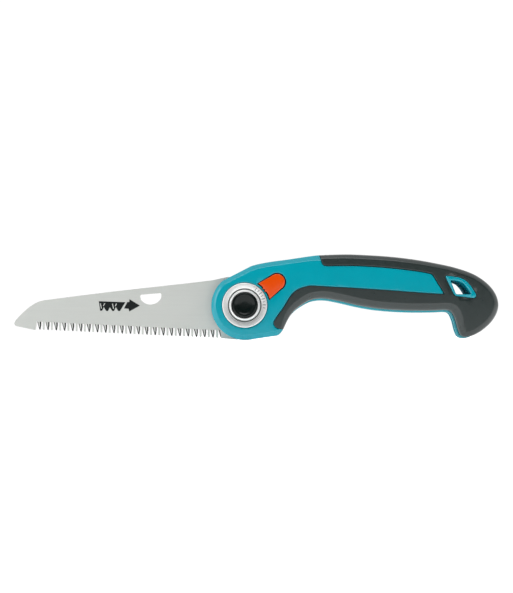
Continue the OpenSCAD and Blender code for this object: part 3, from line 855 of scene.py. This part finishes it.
def spring_coil(parts, turns=4, steps=160, sides=10):
    """Closed tube wound about the middle of the button's round end."""
    first_y, last_y = SPRING_FOOT_Y + WIRE_R + 0.02, SPRING_TOP_Y - WIRE_R - 0.02
    centre = turn(np.array([[BUTTON_C, 0.0]]), BUTTON_DIR)[0]
    verts = []
    for i in range(steps + 1):
        a = 2 * math.pi * turns * i / steps
        y = first_y + (last_y - first_y) * i / steps
        for k in range(sides):
            b = 2 * math.pi * k / sides
            r = SPRING_R + WIRE_R * math.cos(b)
            x, z = centre[0] + r * math.cos(a), centre[1] + r * math.sin(a)
            verts.append((x, -y - WIRE_R * math.sin(b), z))
    faces = [tuple(range(sides)), tuple(steps * sides + k for k in range(sides))]
    for i in range(steps):
        for k in range(sides):
            m = (k + 1) % sides
            faces.append((i * sides + k, (i + 1) * sides + k, (i + 1) * sides + m, i * sides + m))
    parts.add(verts, faces)


spring = Parts()
spring_coil(spring)
spring_piece = spring.piece("lock_spring_coil", HANDLE, [SPRING], "spring_steel")
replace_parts(spring_piece, "lock_spring")
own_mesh(spring_piece)

# ---------------------------------------------------------------- blade
TOOTH_PITCH = 3.0
TOOTH_H = 5.8
TOOTH_FIRST = -149.2
TIP_HALF = 0.4
TEETH = 44
HEEL_X = -16.4


def tooth_z(x):
    return -24.42 - 0.0477 * x


def blade_edge():
    """Blade outline as rows: place on the near face, at the middle and on the far face, and the
    face that is ground there: -1 the near one, 1 the far one, 0 neither."""
    rows = []

    def plain(points):
        for x, z in points:
            rows.append((x, z, x, z, x, z, 0))

    plain(spline([(-168, -16), (-167.7, -12.9), (-166.2, -10), (-163.6, -7.2), (-160.6, -4.2),
                  (-156.6, -0.8), (-151.4, 2.4), (-146, 4.1), (-139, 5)], 6))
    plain([(-98, 10.2), (-44.5, 16.1), (-24, 18.5), (-13.5, 20.8), (-9.5, 21.1)])
    plain(arc((0, 0), 22.8, 113, 54, 24))
    plain(arc((0, 0), 24.2, 50, -97, 60))
    # half a tooth at the heel
    x = HEEL_X
    z = tooth_z(x)
    plain([(-6, -24.5), (x, z)])
    rows.append((x - 0.9, z + 1.7, x - 1.2, z + 0.2, x - 1.2, z + 0.2, -1))
    rows.append((x - 1.85, z + TOOTH_H, x - 2.75, z + TOOTH_H, x - 2.75, z + TOOTH_H, -1))
    # each tooth's own outline, and where its grinding ends on the face
    for i in range(TEETH - 1, -1, -1):
        x = TOOTH_FIRST + i * TOOTH_PITCH
        z = tooth_z(x)
        top = z + TOOTH_H
        if i % 2 == 0:           # wide tooth, ground on the near face
            for ox, oz, ix, iz in (
                    (x + 1.0, top, x + 0.2, top), (x + 1.0, z + 3.4, x + 0.3, z + 3.4),
                    (x + TIP_HALF, z, x + 0.1, z + 1.7), (x - TIP_HALF, z + 0.2, x - 0.1, z + 1.7),
                    (x - 1.95, top, x - 1.05, top)):
                rows.append((ix, iz, ox, oz, ox, oz, -1))
        else:                    # narrow tooth, ground on the far face
            for ox, oz, ix, iz in (
                    (x + 0.8, top, x + 0.3, top), (x + 0.65, z, x + 0.1, z + 1.3),
                    (x - 0.65, z + 0.2, x - 0.1, z + 1.3), (x - 0.85, top, x - 0.35, top)):
                rows.append((ox, oz, ox, oz, ix, iz, 1))
    plain([(-151.5, tooth_z(TOOTH_FIRST) + TOOTH_H), (-151.9, -17.1), (-152.5, -17.6), (-165.6, -14.9),
           (-167, -14.2)])
    return np.array(rows, float)


def blade_window():
    half_w, corner_r = 7.8, 1.2
    loop = np.concatenate([
        arc((half_w - corner_r, -corner_r), corner_r, 90, -20, 8),
        arc((0, 0.9), 8.6, -30, -150, 32),
        arc((-half_w + corner_r, -corner_r), corner_r, 200, 90, 8)])
    return turn(loop, math.radians(4.7)) + np.array([-68.6, 8.6])


def tang_slot():
    """Arc slot in which the lock pin runs."""
    out_r, in_r = PIN_AT_R + PIN_R + 0.15, PIN_AT_R - PIN_R - 0.15
    start, end = math.degrees(BUTTON_DIR) - FOLD, math.degrees(BUTTON_DIR)
    cap_r = (out_r - in_r) / 2
    first = PIN_AT_R * np.array([math.cos(math.radians(start)), math.sin(math.radians(start))])
    last = PIN_AT_R * np.array([math.cos(math.radians(end)), math.sin(math.radians(end))])
    return tidy(np.concatenate([
        arc((0, 0), out_r, start, end, 60), arc(last, cap_r, end, end + 180, 12),
        arc((0, 0), in_r, end, start, 60), arc(first, cap_r, start + 180, start + 360, 12)]))


def blade_mesh(parts):
    rows = blade_edge()
    near, middle, far_side = rows[:, 0:2], rows[:, 2:4], rows[:, 4:6]
    holes = [blade_window(), tang_slot(), circle((0, 0), 5.05, 64)]
    n = len(rows)
    # faces, from the outline's own points
    for layer, y in ((near, -BLADE_HALF), (far_side, BLADE_HALF)):
        verts, tris = triangulate([layer] + holes, None)
        parts.add([(x, y, z) for x, z in verts], tris)
    # edges: face, two middle rows, other face
    verts = []
    for k in range(n):
        low, high = {-1: (0.45, 0.52), 0: (-0.2, 0.2), 1: (-0.52, -0.45)}[int(rows[k, 6])]
        verts += [(near[k][0], -BLADE_HALF, near[k][1]),
                  (middle[k][0], low, middle[k][1]),
                  (middle[k][0], high, middle[k][1]),
                  (far_side[k][0], BLADE_HALF, far_side[k][1])]
    faces, kinds = [], []
    for k in range(n):
        m = (k + 1) % n
        for row in range(3):
            faces.append((4 * k + row, 4 * k + row + 1, 4 * m + row + 1, 4 * m + row))
            ground = rows[k, 6] != 0 and rows[m, 6] != 0
            kinds.append(1 if ground and row != 1 else 0)
    parts.add(verts, faces, kinds)
    # walls of the openings
    for hole in holes:
        h = len(hole)
        verts = [(x, y, z) for y in (-BLADE_HALF, BLADE_HALF) for x, z in hole]
        parts.add(verts, [(i, (i + 1) % h, h + (i + 1) % h, h + i) for i in range(h)])


blade = Parts()
blade_mesh(blade)
blade_piece = blade.piece("blade_plate", BLADE, [STEEL, GROUND], "blade_steel", 12, weld=True)
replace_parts(blade_piece, "blade")


def decal(parts, loop):
    """Thin printed shape on the near face of the blade."""
    pad(parts, [np.array(loop, float)], None, lambda p: BLADE_HALF + 0.03, lambda p: BLADE_HALF - 0.02)


# Plain pictogram: a toothed bar and an arrow for the cutting stroke
printed = Parts()
decal(printed, [(-106.32, 3.35), (-105.22, -3.61), (-103.83, -3.61), (-102.52, -0.99), (-100.89,
    -3.77), (-99.5, -3.77), (-98.15, -1.11), (-96.39, -3.77), (-95.08, -3.77), (-93.85, -0.99),
    (-92.14, -3.77), (-90.75, -3.77), (-86.9, 2.61)])
decal(printed, [(-87.93, -1.97), (-84.53, -2.17), (-84.12, -4.18), (-76.27, 0.12), (-83.96, 4.82),
    (-84.12, 2.69), (-85.51, 2.77)])
printed.piece("blade_pictogram", BLADE, [PRINT], "black_plastic")
glints = Parts()
for gap in (
        [(-105.46, 1.71), (-104.85, 1.79), (-103.99, -1.81), (-104.56, -2.05)],
        [(-102.28, 1.79), (-101.54, 1.71), (-102.72, -0.25), (-103.26, -0.17)],
        [(-96.63, 1.46), (-96.02, 1.55), (-95.16, -2.05), (-95.73, -2.3)],
        [(-93.69, 1.63), (-92.95, 1.55), (-94.06, -0.38), (-94.59, -0.29)]):
    pad(glints, [np.array(gap)], None, lambda p: BLADE_HALF + 0.05, lambda p: BLADE_HALF + 0.01)
glints.piece("blade_pictogram_gaps", BLADE, [STEEL], "blade_steel")

# ---------------------------------------------------------------- floor, light and camera
floor_mesh = bpy.data.meshes.new("floor")
reach = 3.0
floor_mesh.from_pydata([(-reach, -reach, 0), (reach, -reach, 0), (reach, reach, 0), (-reach, reach, 0)],
                       [], [(0, 1, 2, 3)])
floor = bpy.data.objects.new("floor", floor_mesh)
bpy.context.scene.collection.objects.link(floor)
floor_material, nodes, links, shader, coord = material("floor_paper")
links.new(shades(nodes, links, noise(nodes, links, coord, 30, 3), (0.94, 0.94, 0.94), 0.01 / 0.94),
          shader.inputs["Base Color"])
shader.inputs["Roughness"].default_value = 0.9
shader.inputs["Emission Color"].default_value = (1, 1, 1, 1)
shader.inputs["Emission Strength"].default_value = 0.5
floor_mesh.materials.append(floor_material)

world = bpy.data.worlds.new("studio")
bpy.context.scene.world = world
world.use_nodes = True
nodes, links = world.node_tree.nodes, world.node_tree.links
# a white surround that is dimmer in front of the saw, where the studio is open
sky = nodes.new("ShaderNodeSeparateXYZ")
links.new(nodes.new("ShaderNodeTexCoord").outputs["Generated"], sky.inputs["Vector"])
dim = nodes.new("ShaderNodeMapRange")
dim.interpolation_type = "SMOOTHSTEP"
for socket, value in (("From Min", -0.88), ("From Max", -0.25), ("To Min", 0.02), ("To Max", 1.03)):
    dim.inputs[socket].default_value = value
links.new(sky.outputs["Y"], dim.inputs["Value"])
links.new(dim.outputs["Result"], nodes["Background"].inputs["Strength"])
nodes["Background"].inputs["Color"].default_value = (1, 1, 1, 1)


def area_light(name, location, target, size, power):
    data = bpy.data.lights.new(name, "AREA")
    data.shape = "RECTANGLE"
    data.size, data.size_y = size
    data.energy = power
    light = bpy.data.objects.new(name, data)
    bpy.context.scene.collection.objects.link(light)
    light.location = location
    light.rotation_euler = (Vector(target) - Vector(location)).to_track_quat("-Z", "Y").to_euler()


area_light("top_box", (-0.1, -0.55, 0.75), (0, 0, 0.02), (1.0, 0.25), 2.4)
area_light("left_box", (-0.95, -0.45, 0.35), (-0.05, 0, 0.02), (0.3, 0.7), 1.8)
area_light("back_box", (0.1, 0.9, 0.8), (0, 0, 0.02), (0.9, 0.4), 1.0)

CAMERA_DISTANCE = 0.6
FRAME_HEIGHT = 0.4305            # height of the picture in the blade's plane
camera_data = bpy.data.cameras.new("camera")
camera_data.sensor_width = 36
camera_data.lens = 36 * CAMERA_DISTANCE / FRAME_HEIGHT
camera = bpy.data.objects.new("camera", camera_data)
bpy.context.scene.collection.objects.link(camera)
camera.location = (PIVOT.x + 0.0123, -CAMERA_DISTANCE, PIVOT.z - 0.0214)
aim = Vector((PIVOT.x + 0.00835, 0, PIVOT.z + 0.00675))
camera.rotation_euler = (aim - camera.location).to_track_quat("-Z", "Y").to_euler()
camera_data.clip_start = 0.01
bpy.context.scene.camera = camera
bpy.context.scene.view_settings.view_transform = "Standard"
